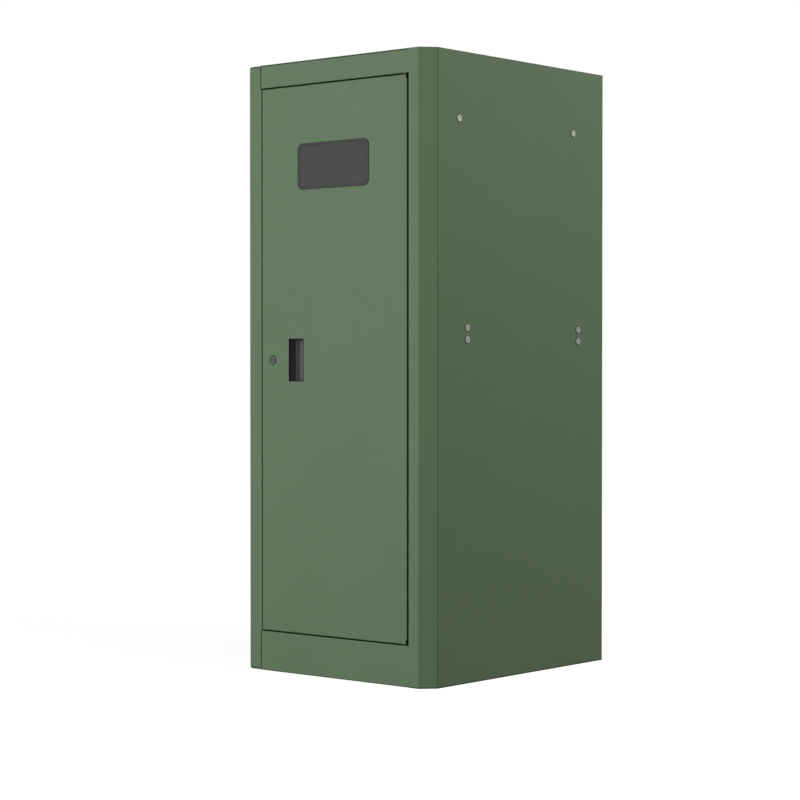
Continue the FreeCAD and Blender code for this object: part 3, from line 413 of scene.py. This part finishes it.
def finish_tree(tree, geometry, material):
    """Makes the instances real, gives them their material and ends the tree."""
    real = node(tree, "GeometryNodeRealizeInstances", {"Geometry": geometry})
    painted = node(tree, "GeometryNodeSetMaterial", {"Geometry": real, "Material": material})
    node(tree, "NodeGroupOutput", {"Geometry": painted})


def grown(name, body, slot, tree, seeds, **sizes):
    """Runs a tree on a seed mesh and keeps the result as a plain piece."""
    holder = bpy.data.objects.new(f"{name}_seed", seeds)
    bpy.context.scene.collection.objects.link(holder)
    modifier = holder.modifiers.new(name, "NODES")
    modifier.node_group = tree
    for socket in tree.interface.items_tree:
        if socket.in_out == "INPUT" and socket.name.replace(" ", "_") in sizes:
            modifier[socket.identifier] = sizes[socket.name.replace(" ", "_")]
    seen = holder.evaluated_get(bpy.context.evaluated_depsgraph_get())
    mesh = bpy.data.meshes.new_from_object(seen)
    mesh.name = name
    mesh.set_sharp_from_angle(angle=math.radians(35))
    bpy.data.objects.remove(holder)
    return piece(name, body, mesh)


def seed_points(name, spots):
    """A mesh of loose points, each with the direction that its fastener faces."""
    mesh = bpy.data.meshes.new(name)
    mesh.from_pydata([spot for spot, _ in spots], [], [])
    facing = mesh.attributes.new("facing", "FLOAT_VECTOR", "POINT")
    facing.data.foreach_set("vector", [c for _, direction in spots for c in direction])
    return mesh


def seed_lines(name, lines):
    """A mesh of loose edges, each with the direction that its welds face."""
    mesh = bpy.data.meshes.new(name)
    points, edges, directions = [], [], []
    for start, end, direction in lines:
        edges.append((len(points), len(points) + 1))
        points += [start, end]
        directions += [direction, direction]
    mesh.from_pydata(points, edges, [])
    facing = mesh.attributes.new("facing", "FLOAT_VECTOR", "POINT")
    facing.data.foreach_set("vector", [c for direction in directions for c in direction])
    return mesh


def domed_fastener_tree(name, material):
    """A low dome on a thin rim with a shank behind it, set on every seed point."""
    tree, given = new_tree(name, Head_Diameter=0.006, Dome_Height=0.001, Rim_Height=0.0003,
                           Shank_Diameter=0.003, Shank_Length=0.004)
    head = node(tree, "ShaderNodeMath", {0: given["Head Diameter"], 1: 0.5}, operation="MULTIPLY")
    shank = node(tree, "ShaderNodeMath", {0: given["Shank Diameter"], 1: 0.5}, operation="MULTIPLY")
    ball = node(tree, "GeometryNodeMeshUVSphere", {"Segments": 32, "Rings": 16, "Radius": 1.0})
    size = node(tree, "ShaderNodeCombineXYZ", {0: head, 1: head, 2: given["Dome Height"]})
    lift = node(tree, "ShaderNodeCombineXYZ", {2: given["Rim Height"]})
    dome = node(tree, "GeometryNodeTransform", {"Geometry": ball, "Scale": size,
                                                "Translation": lift})
    place = node(tree, "GeometryNodeInputPosition")
    height = node(tree, "ShaderNodeSeparateXYZ", {0: place}).outputs[2]
    edge = node(tree, "ShaderNodeMath", {0: given["Rim Height"], 1: 0.01 * MM}, operation="SUBTRACT")
    below = node(tree, "FunctionNodeCompare", {0: height, 1: edge}, operation="LESS_THAN")
    cap = node(tree, "GeometryNodeDeleteGeometry", {"Geometry": dome, "Selection": below})
    soft = node(tree, "GeometryNodeSetShadeSmooth", {"Geometry": cap})
    rim = node(tree, "GeometryNodeMeshCylinder", {"Vertices": 32, "Radius": head,
                                                  "Depth": given["Rim Height"]})
    rim_lift = node(tree, "ShaderNodeMath", {0: given["Rim Height"], 1: 0.5}, operation="MULTIPLY")
    rim_place = node(tree, "ShaderNodeCombineXYZ", {2: rim_lift})
    rim = node(tree, "GeometryNodeTransform", {"Geometry": rim, "Translation": rim_place})
    stem = node(tree, "GeometryNodeMeshCylinder", {"Vertices": 24, "Radius": shank,
                                                   "Depth": given["Shank Length"]})
    stem_drop = node(tree, "ShaderNodeMath", {0: given["Shank Length"], 1: -0.5}, operation="MULTIPLY")
    stem_place = node(tree, "ShaderNodeCombineXYZ", {2: stem_drop})
    stem = node(tree, "GeometryNodeTransform", {"Geometry": stem, "Translation": stem_place})
    whole = node(tree, "GeometryNodeJoinGeometry")
    for part in (soft, rim, stem):
        tree.links.new(part.outputs[0], whole.inputs[0])
    finish_tree(tree, set_facing(tree, given["Geometry"], whole), material)
    return tree


def snap_plug_tree(material):
    """A round head with a dished middle and six sprung fingers behind it, set on every seed point."""
    tree, given = new_tree("snap_plug", Head_Diameter=0.013, Head_Height=0.001, Finger_Circle=0.01,
                           Finger_Length=0.007, Finger_Width=0.003)
    radius = node(tree, "ShaderNodeMath", {0: given["Head Diameter"], 1: 0.5}, operation="MULTIPLY")
    ball = node(tree, "GeometryNodeMeshUVSphere", {"Segments": 40, "Rings": 26, "Radius": 1.0})
    place = node(tree, "GeometryNodeInputPosition")
    along = node(tree, "ShaderNodeSeparateXYZ", {0: place}).outputs
    level = node(tree, "ShaderNodeVectorMath", {0: place, 1: (1, 1, 0)}, operation="MULTIPLY")
    out = node(tree, "ShaderNodeVectorMath", {0: level}, operation="LENGTH").outputs["Value"]
    # The head's section, from the middle of the dish to the rolled edge, as shares of radius and height.
    section = node(tree, "ShaderNodeFloatCurve", {"Value": out})
    curve = section.mapping.curves[0].points
    curve[0].location, curve[1].location = (0.0, 0.78), (1.0, 0.25)
    for point in ((0.36, 0.80), (0.54, 0.97), (0.62, 1.0), (0.90, 1.0), (0.97, 0.75)):
        curve.new(*point)
    section.mapping.update()
    upper = node(tree, "FunctionNodeCompare", {0: along[2], 1: -0.01}, operation="GREATER_THAN")
    height = node(tree, "ShaderNodeMath", {0: section, 1: given["Head Height"]}, operation="MULTIPLY")
    height = node(tree, "ShaderNodeMath", {0: height, 1: upper}, operation="MULTIPLY")
    across = node(tree, "ShaderNodeMath", {0: along[0], 1: radius}, operation="MULTIPLY")
    deep = node(tree, "ShaderNodeMath", {0: along[1], 1: radius}, operation="MULTIPLY")
    pressed = node(tree, "ShaderNodeCombineXYZ", {0: across, 1: deep, 2: height})
    head = node(tree, "GeometryNodeSetPosition", {"Geometry": ball, "Position": pressed})
    head = node(tree, "GeometryNodeSetShadeSmooth", {"Geometry": head})
    # Each finger is a strip 0.5 mm thick that bows outwards to snap behind the sheet.
    strip = node(tree, "ShaderNodeCombineXYZ", {0: 0.5 * MM, 1: given["Finger Width"],
                                                2: given["Finger Length"]})
    strip = node(tree, "GeometryNodeMeshCube", {"Size": strip, "Vertices X": 2, "Vertices Y": 2,
                                                "Vertices Z": 9})
    share = node(tree, "ShaderNodeMath", {0: along[2], 1: given["Finger Length"]}, operation="DIVIDE")
    bow = node(tree, "ShaderNodeMath", {0: share, 1: math.pi}, operation="MULTIPLY")
    bow = node(tree, "ShaderNodeMath", {0: bow}, operation="COSINE")
    bow = node(tree, "ShaderNodeMath", {0: bow, 1: 0.35 * MM}, operation="MULTIPLY")
    bow = node(tree, "ShaderNodeCombineXYZ", {0: bow})
    strip = node(tree, "GeometryNodeSetPosition", {"Geometry": strip, "Offset": bow})
    drop = node(tree, "ShaderNodeMath", {0: given["Finger Length"], 1: -0.5}, operation="MULTIPLY")
    drop = node(tree, "ShaderNodeCombineXYZ", {2: drop})
    strip = node(tree, "GeometryNodeTransform", {"Geometry": strip, "Translation": drop})
    round_out = node(tree, "ShaderNodeMath", {0: given["Finger Circle"], 1: 0.5}, operation="MULTIPLY")
    ring = node(tree, "GeometryNodeMeshCircle", {"Vertices": 6, "Radius": round_out})
    outward = node(tree, "FunctionNodeAlignRotationToVector", {"Vector": place}, axis="X")
    fingers = node(tree, "GeometryNodeInstanceOnPoints", {"Points": ring, "Instance": strip,
                                                          "Rotation": outward})
    whole = node(tree, "GeometryNodeJoinGeometry")
    for part in (head, fingers):
        tree.links.new(part.outputs[0], whole.inputs[0])
    finish_tree(tree, set_facing(tree, given["Geometry"], whole), material)
    return tree


def window_shade_bead_tree(material):
    """A square-edged bead that follows the inside of a rounded window, facing -Y."""
    tree, given = new_tree("window_bead", Window_Width=0.04, Window_Height=0.08, Corner_Radius=0.001,
                           Bead_Width=0.0014, Bead_Depth=0.002)
    wide = node(tree, "ShaderNodeMath", {0: given["Window Width"], 1: given["Bead Width"]},
                operation="SUBTRACT")
    tall = node(tree, "ShaderNodeMath", {0: given["Window Height"], 1: given["Bead Width"]},
                operation="SUBTRACT")
    path = node(tree, "GeometryNodeCurvePrimitiveQuadrilateral", {"Width": wide, "Height": tall})
    path = node(tree, "GeometryNodeFilletCurve", {"Curve": path, "Radius": given["Corner Radius"],
                                                  "Count": 5}, mode="POLY")
    section = node(tree, "GeometryNodeCurvePrimitiveQuadrilateral", {"Width": given["Bead Width"],
                                                                     "Height": given["Bead Depth"]})
    swept = node(tree, "GeometryNodeCurveToMesh", {"Curve": path, "Profile Curve": section})
    upright = node(tree, "GeometryNodeTransform", {"Geometry": swept, "Rotation": (math.radians(90), 0, 0)})
    middle = (cup_low + cup_high) / 2
    back = node(tree, "ShaderNodeMath", {0: given["Bead Depth"], 1: 0.5}, operation="MULTIPLY")
    back = node(tree, "ShaderNodeMath", {0: back, 1: DOOR_FACE + 0.15 * MM}, operation="ADD")
    spot = node(tree, "ShaderNodeCombineXYZ", {0: middle.x, 1: back, 2: middle.z})
    placed = node(tree, "GeometryNodeTransform", {"Geometry": upright, "Translation": spot})
    finish_tree(tree, placed, material)
    return tree


def spot_weld_tree(material):
    """A shallow ring, the lip that a welding tip leaves, at even steps along every seed edge."""
    tree, given = new_tree("spot_welds", Spacing=0.08, Ring_Diameter=0.006, Lip_Diameter=0.0012,
                           Lip_Height=0.0003)
    line = node(tree, "GeometryNodeMeshToCurve", {"Mesh": given["Geometry"]})
    steps = node(tree, "GeometryNodeResampleCurve", {"Curve": line, "Length": given["Spacing"]},
                 mode="LENGTH")
    half_ring = node(tree, "ShaderNodeMath", {0: given["Ring Diameter"], 1: 0.5}, operation="MULTIPLY")
    half_lip = node(tree, "ShaderNodeMath", {0: given["Lip Diameter"], 1: 0.5}, operation="MULTIPLY")
    ring = node(tree, "GeometryNodeCurvePrimitiveCircle", {"Resolution": 20, "Radius": half_ring})
    lip = node(tree, "GeometryNodeCurvePrimitiveCircle", {"Resolution": 8, "Radius": half_lip})
    swept = node(tree, "GeometryNodeCurveToMesh", {"Curve": ring, "Profile Curve": lip})
    flatten = node(tree, "ShaderNodeMath", {0: given["Lip Height"], 1: given["Lip Diameter"]},
                   operation="DIVIDE")
    size = node(tree, "ShaderNodeCombineXYZ", {0: 1.0, 1: 1.0, 2: flatten})
    low = node(tree, "GeometryNodeTransform", {"Geometry": swept, "Scale": size})
    soft = node(tree, "GeometryNodeSetShadeSmooth", {"Geometry": low})
    finish_tree(tree, set_facing(tree, steps, soft), material)
    return tree


# ---------------------------------------------------------------- door furniture

def name_plate():
    """Blank moulded plate: a raised rim round a plain panel, on the upper part of the door."""
    shape = bmesh.new()
    middle = (-7.9 * MM, 925.8 * MM)
    wide, tall, radius = 172 * MM, 84 * MM, 12 * MM
    front = lock_low.y + 0.02 * MM      # just behind the lock's face, the foremost point of the locker
    steps = ((0, DOOR_FACE + 0.2 * MM), (0, front + 0.5 * MM), (0.15 * MM, front + 0.2 * MM),
             (0.5 * MM, front), (3.5 * MM, front), (4.0 * MM, front + 0.2 * MM), (4.3 * MM, front + 0.6 * MM))
    loft(shape, [rounded_loop(middle, wide - 2 * inset, tall - 2 * inset, radius - inset, y)
                 for inset, y in steps])
    return piece("name_plate", "door", mesh_of(shape, "name_plate", plate_abs, 35))


def lock_gasket():
    """Thin black washer round the lock's head, a dark ring that stands in for the shade there."""
    shape = bmesh.new()
    turned(shape, ((9.35 * MM, DOOR_FACE + 0.1 * MM), (9.35 * MM, DOOR_FACE - 0.2 * MM),
                   (9.2 * MM, DOOR_FACE - 0.3 * MM), (8.0 * MM, DOOR_FACE - 0.3 * MM)), (LOCK.x, LOCK.z))
    return piece("lock_gasket", "door", mesh_of(shape, "lock_gasket", rubber, 35))


def window_bead():
    """Black rubber bead along the inside of the door's window, over its cut edge and the cup's joint, a dark
    band that stands in for the shade along the window's edges.
    """
    tree = window_shade_bead_tree(rubber)
    return grown("window_bead", "door", "bumper_rubber", tree, seed_points("window_bead", []),
                 Window_Width=cup_high.x - cup_low.x - 2 * CUP_RIM,
                 Window_Height=cup_high.z - cup_low.z - 2 * CUP_RIM,
                 Corner_Radius=0.8 * MM, Bead_Width=1.5 * MM, Bead_Depth=2.0 * MM)


def magnet_poles():
    """Two steel pole plates that stand 0.2 mm proud of the catch, facing the strike."""
    shape = bmesh.new()
    for up in (-3 * MM, 3 * MM):
        middle = ((catch_low.x + catch_high.x) / 2, (catch_low.z + catch_high.z) / 2 + up)
        wide, tall, radius = catch_high.x - catch_low.x - 8 * MM, 1.6 * MM, 0.2 * MM
        steps = ((0, catch_low.y + 0.4 * MM), (0, catch_low.y - 0.15 * MM),
                 (0.05 * MM, catch_low.y - 0.2 * MM))
        loft(shape, [rounded_loop(middle, wide - 2 * inset, tall - 2 * inset, radius - inset, y, 4)
                     for inset, y in steps])
    return piece("magnet_poles", "cabinet", mesh_of(shape, "magnet_poles", zinc, 35))


def domed_bumper():
    """The stop's bumper as moulded: a low dome with a flat back, in place of the plain disc."""
    low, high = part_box("door_bumper")
    radius = (high.x - low.x) / 2
    shape = bmesh.new()
    profile = [(radius, high.y), (radius, low.y + 1.0 * MM)]
    for step in range(1, 7):
        angle = math.radians(90 * step / 7)
        profile.append((radius * math.cos(angle), low.y + 1.0 * MM * (1 - math.sin(angle))))
    turned(shape, profile + [(0.3 * MM, low.y)], ((low.x + high.x) / 2, (low.z + high.z) / 2))
    made = piece("domed_bumper", "cabinet", mesh_of(shape, "domed_bumper", rubber, 35))
    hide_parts("door_bumper")
    return made


def key_pins():
    """Seven spring pins that stand in the lock's ring keyway."""
    tree, given = new_tree("key_pins", Ring_Radius=3.35 * MM, Pin_Radius=0.6 * MM, Pin_Length=2.6 * MM)
    around = node(tree, "GeometryNodeMeshCircle", {"Vertices": 7, "Radius": given["Ring Radius"]})
    pin = node(tree, "GeometryNodeMeshCylinder", {"Vertices": 16, "Radius": given["Pin Radius"],
                                                  "Depth": given["Pin Length"]})
    placed = node(tree, "GeometryNodeInstanceOnPoints", {"Points": around, "Instance": pin})
    face = node(tree, "GeometryNodeTransform", {"Geometry": placed,
                                                "Rotation": (math.radians(90), 0, 0),
                                                "Translation": (LOCK.x, plug_low.y + 3.0 * MM, LOCK.z)})
    finish_tree(tree, face, chrome)
    return grown("key_pins", "lock", "lock_zinc", tree, seed_points("key_pins", []))


def barrel_thread():
    """Thread along the lock's barrel behind the nut, one ridge for each millimetre."""
    tree, given = new_tree("barrel_thread", Turns=15.0, Radius=7.7 * MM, Length=15.5 * MM, Ridge=0.35 * MM)
    helix = node(tree, "GeometryNodeCurveSpiral", {"Resolution": 40, "Rotations": given["Turns"],
                                                   "Start Radius": given["Radius"],
                                                   "End Radius": given["Radius"], "Height": given["Length"]})
    ridge = node(tree, "GeometryNodeCurvePrimitiveCircle", {"Resolution": 4, "Radius": given["Ridge"]})
    swept = node(tree, "GeometryNodeCurveToMesh", {"Curve": helix, "Profile Curve": ridge,
                                                   "Fill Caps": True})
    start = lock_low.y + 6.6 * MM
    placed = node(tree, "GeometryNodeTransform", {"Geometry": swept,
                                                  "Rotation": (math.radians(-90), 0, 0),
                                                  "Translation": (LOCK.x, start, LOCK.z)})
    finish_tree(tree, placed, chrome)
    return grown("barrel_thread", "door", "lock_zinc", tree, seed_points("barrel_thread", []))


# ---------------------------------------------------------------- cabinet fasteners and welds

def clusters(points, reach):
    """Groups points so that each lies within reach of another one of its group."""
    groups = []
    for point in points:
        near = [group for group in groups if any((point - other).length < reach for other in group)]
        groups = [group for group in groups if all(group is not other for other in near)]
        groups.append([point] + [other for group in near for other in group])
    return groups


def snap_plugs():
    """Dished snap-in plugs in the right wall's six bolt holes, for the plain ones, on thin black seals that
    stand in for the shade round each head.
    """
    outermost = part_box("wall_plugs")[1].x
    faces = [v.co for v in frame["nodes"]["wall_plugs"].data.vertices if v.co.x > outermost - 0.1 * MM]
    seal = 0.75 * MM
    on_wall, on_seal = [], []
    for group in clusters(faces, 4 * MM):
        y = (min(v.y for v in group) + max(v.y for v in group)) / 2
        z = (min(v.z for v in group) + max(v.z for v in group)) / 2
        on_wall.append(((wall_high.x, y, z), (1, 0, 0)))
        on_seal.append(((wall_high.x + seal, y, z), (1, 0, 0)))
    made = grown("snap_plugs", "cabinet", "bright_plug_steel", snap_plug_tree(nickel),
                 seed_points("snap_plugs", on_seal), Head_Diameter=13.1 * MM, Head_Height=0.8 * MM,
                 Finger_Circle=9.8 * MM, Finger_Length=8.5 * MM, Finger_Width=3.2 * MM)
    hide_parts("wall_plugs")
    # The black seals are painted shade: a dark ring where the shade round each plug head falls.
    grown("plug_seals", "cabinet", "bumper_rubber", domed_fastener_tree("plug_seal", rubber),
          seed_points("plug_seals", on_wall), Head_Diameter=14.3 * MM, Dome_Height=0.05 * MM,
          Rim_Height=seal - 0.05 * MM, Shank_Diameter=8.6 * MM, Shank_Length=1.2 * MM)


def inside_fasteners():
    """Rivets and screws that hold the catch, its strike and the stop."""
    tree = domed_fastener_tree("domed_fastener", zinc)
    spots = []
    for x in (catch_low.x + 8 * MM, catch_high.x - 8 * MM):
        spots.append(((x, (catch_low.y + catch_high.y) / 2, catch_low.z), (0, 0, -1)))
    for x in (stop_low.x + 7 * MM, stop_high.x - 7 * MM):
        spots.append(((x, stop_high.y - 4 * MM, stop_low.z + SHEET), (0, 0, 1)))
    grown("catch_and_stop_fasteners", "cabinet", "zinc_plated_steel", tree,
          seed_points("catch_and_stop_fasteners", spots), Head_Diameter=4.6 * MM, Dome_Height=0.9 * MM,
          Rim_Height=0.2 * MM, Shank_Diameter=2.5 * MM, Shank_Length=0.8 * MM)
    spots = []
    for x in (strike_low.x + 6 * MM, strike_high.x - 6 * MM):
        spots.append(((x, strike_high.y, (strike_low.z + strike_high.z) / 2), (0, 1, 0)))
    grown("strike_rivets", "door", "zinc_plated_steel", tree, seed_points("strike_rivets", spots),
          Head_Diameter=3.6 * MM, Dome_Height=0.15 * MM, Rim_Height=0.05 * MM,
          Shank_Diameter=2.0 * MM, Shank_Length=0.8 * MM)


def weld_rows():
    """Spot welds: the stiffener's feet on the door, and the shelf posts and back of the cabinet."""
    tree = spot_weld_tree(paint)
    foot = DOOR_FACE + 2 * SHEET
    lines = []
    for x in (stiff_low.x + 7.5 * MM, stiff_high.x - 7.5 * MM):
        lines.append(((x, foot, stiff_low.z + 20 * MM), (x, foot, stiff_high.z - 20 * MM), (0, 1, 0)))
    grown("stiffener_welds", "door", "green_powder_coat", tree, seed_lines("stiffener_welds", lines),
          Spacing=80 * MM, Ring_Diameter=5 * MM, Lip_Diameter=1.4 * MM, Lip_Height=0.3 * MM)
    lines = []
    for name in ("left_front_shelf_post", "left_rear_shelf_post", "right_front_shelf_post",
                 "right_rear_shelf_post"):
        low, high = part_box(name)
        side = 1 if low.x < 0 else -1
        x = high.x if side > 0 else low.x
        for y in (low.y + 4.5 * MM, high.y - 4.5 * MM):
            lines.append(((x, y, low.z + 18 * MM), (x, y, high.z - 18 * MM), (side, 0, 0)))
    back_low, back_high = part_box("back_panel")
    for x in (back_low.x + 12 * MM, back_high.x - 12 * MM):
        lines.append(((x, back_low.y, 100 * MM), (x, back_low.y, 1080 * MM), (0, -1, 0)))
    grown("cabinet_welds", "cabinet", "green_powder_coat", tree, seed_lines("cabinet_welds", lines),
          Spacing=100 * MM, Ring_Diameter=5 * MM, Lip_Diameter=1.4 * MM, Lip_Height=0.3 * MM)


name_plate()
lock_gasket()
window_bead()
magnet_poles()
domed_bumper()
key_pins()
barrel_thread()
snap_plugs()
inside_fasteners()
weld_rows()


# ---------------------------------------------------------------- studio

def seen_directly(tree):
    """1 for rays from the eye, straight or by a mirror or glass, and 0 for those that only carry light."""
    ray = node(tree, "ShaderNodeLightPath")
    seen = node(tree, "ShaderNodeMath", {0: ray.outputs["Is Camera Ray"], 1: ray.outputs["Is Glossy Ray"]},
                operation="MAXIMUM")
    return node(tree, "ShaderNodeMath", {0: seen, 1: ray.outputs["Is Transmission Ray"]}, operation="MAXIMUM")


def studio_floor():
    """Pale floor that reads white and still takes the locker's shadow."""
    mesh = bpy.data.meshes.new("studio_floor")
    far = 30.0
    drop = -0.2 * MM    # under the base, so that the two faces don't share a plane
    corners = ((-far, -far), (far, -far), (far, far), (-far, far))
    mesh.from_pydata([(x, y, drop) for x, y in corners], [], [(0, 1, 2, 3)])
    floor = bpy.data.objects.new("studio_floor", mesh)
    bpy.context.scene.collection.objects.link(floor)
    material = bpy.data.materials.new("studio_floor")
    material.use_nodes = True
    tree = material.node_tree
    tree.nodes.clear()
    ray = node(tree, "ShaderNodeLightPath").outputs["Is Camera Ray"]
    # A pale sheet to the eye, which throws back less light on the locker than a white one would.
    paper = node(tree, "ShaderNodeMix", {0: ray, 6: colour("#6E6E6E"),
                                         7: colour("#E6E6E6")}, data_type="RGBA")
    matt = node(tree, "ShaderNodeBsdfDiffuse", {"Color": paper})
    # It glows more outwards, where less lamplight falls, so that it stays white and only the shadow shows.
    away = node(tree, "ShaderNodeTexCoord").outputs["Object"]
    away = node(tree, "ShaderNodeVectorMath", {0: away}, operation="LENGTH").outputs["Value"]
    glow = node(tree, "ShaderNodeMapRange", {"Value": away, "From Min": 1.0, "From Max": 4.0,
                                             "To Min": 0.74, "To Max": 0.89}, interpolation_type="SMOOTHSTEP")
    glow = node(tree, "ShaderNodeMath", {0: glow, 1: seen_directly(tree)}, operation="MULTIPLY")
    lift = node(tree, "ShaderNodeEmission", {"Color": (1, 1, 1, 1), "Strength": glow})
    both = node(tree, "ShaderNodeAddShader", {0: matt, 1: lift})
    node(tree, "ShaderNodeOutputMaterial", {"Surface": both})
    mesh.materials.append(material)


def studio_light():
    """Soft white world, two broad lamps in front, one over the right side and a weak one behind it."""
    world = bpy.data.worlds.new("studio_world")
    bpy.context.scene.world = world
    world.use_nodes = True
    tree = world.node_tree
    tree.nodes.clear()
    strength = node(tree, "ShaderNodeMix", {0: seen_directly(tree), 2: 0.145, 3: 1.0}, data_type="FLOAT")
    sky = node(tree, "ShaderNodeBackground", {"Color": (1, 1, 1, 1), "Strength": strength})
    node(tree, "ShaderNodeOutputWorld", {"Surface": sky})
    # Each lamp: its name, place, aim, size across, watts and tint.
    lamps = (("key_light", (-2.2, -4.6, 1.0), (0, -0.25, 0.6), 3.0, 160, "#FFFFFF"),
             ("front_fill", (0.9, -5.0, 1.0), (0, -0.25, 0.6), 3.0, 86, "#FFF8F6"),
             ("high_fill", (2.6, 0.4, 2.3), (0.2, 0, 0.7), 1.5, 46, "#FFF5F2"),
             ("rear_softbox", (2.3, 2.4, 1.75), (0.2, 0, 0.95), 1.0, 5.5, "#FFFFFF"))
    for name, spot, aim, across, power, tint in lamps:
        data = bpy.data.lights.new(name, "AREA")
        data.shape = "SQUARE"
        data.size = across
        data.energy = power
        data.color = colour(tint)[:3]
        lamp = bpy.data.objects.new(name, data)
        bpy.context.scene.collection.objects.link(lamp)
        lamp.location = spot
        lamp.rotation_euler = (Vector(aim) - Vector(spot)).to_track_quat("-Z", "Y").to_euler()


def studio_camera():
    """Lens of 99.4 mm at the height of the locker's middle, 40 degrees round to its right."""
    data = bpy.data.cameras.new("camera")
    data.lens = 99.407
    data.sensor_width = 36
    data.clip_end = 100
    camera = bpy.data.objects.new("camera", data)
    bpy.context.scene.collection.objects.link(camera)
    camera.location = (2.6515, -3.2165, 0.5636)
    camera.rotation_euler = (math.radians(90 - 0.8864), 0, math.radians(40.246))
    bpy.context.scene.camera = camera


studio_floor()
studio_light()
studio_camera()
bpy.context.scene.view_settings.view_transform = "Standard"
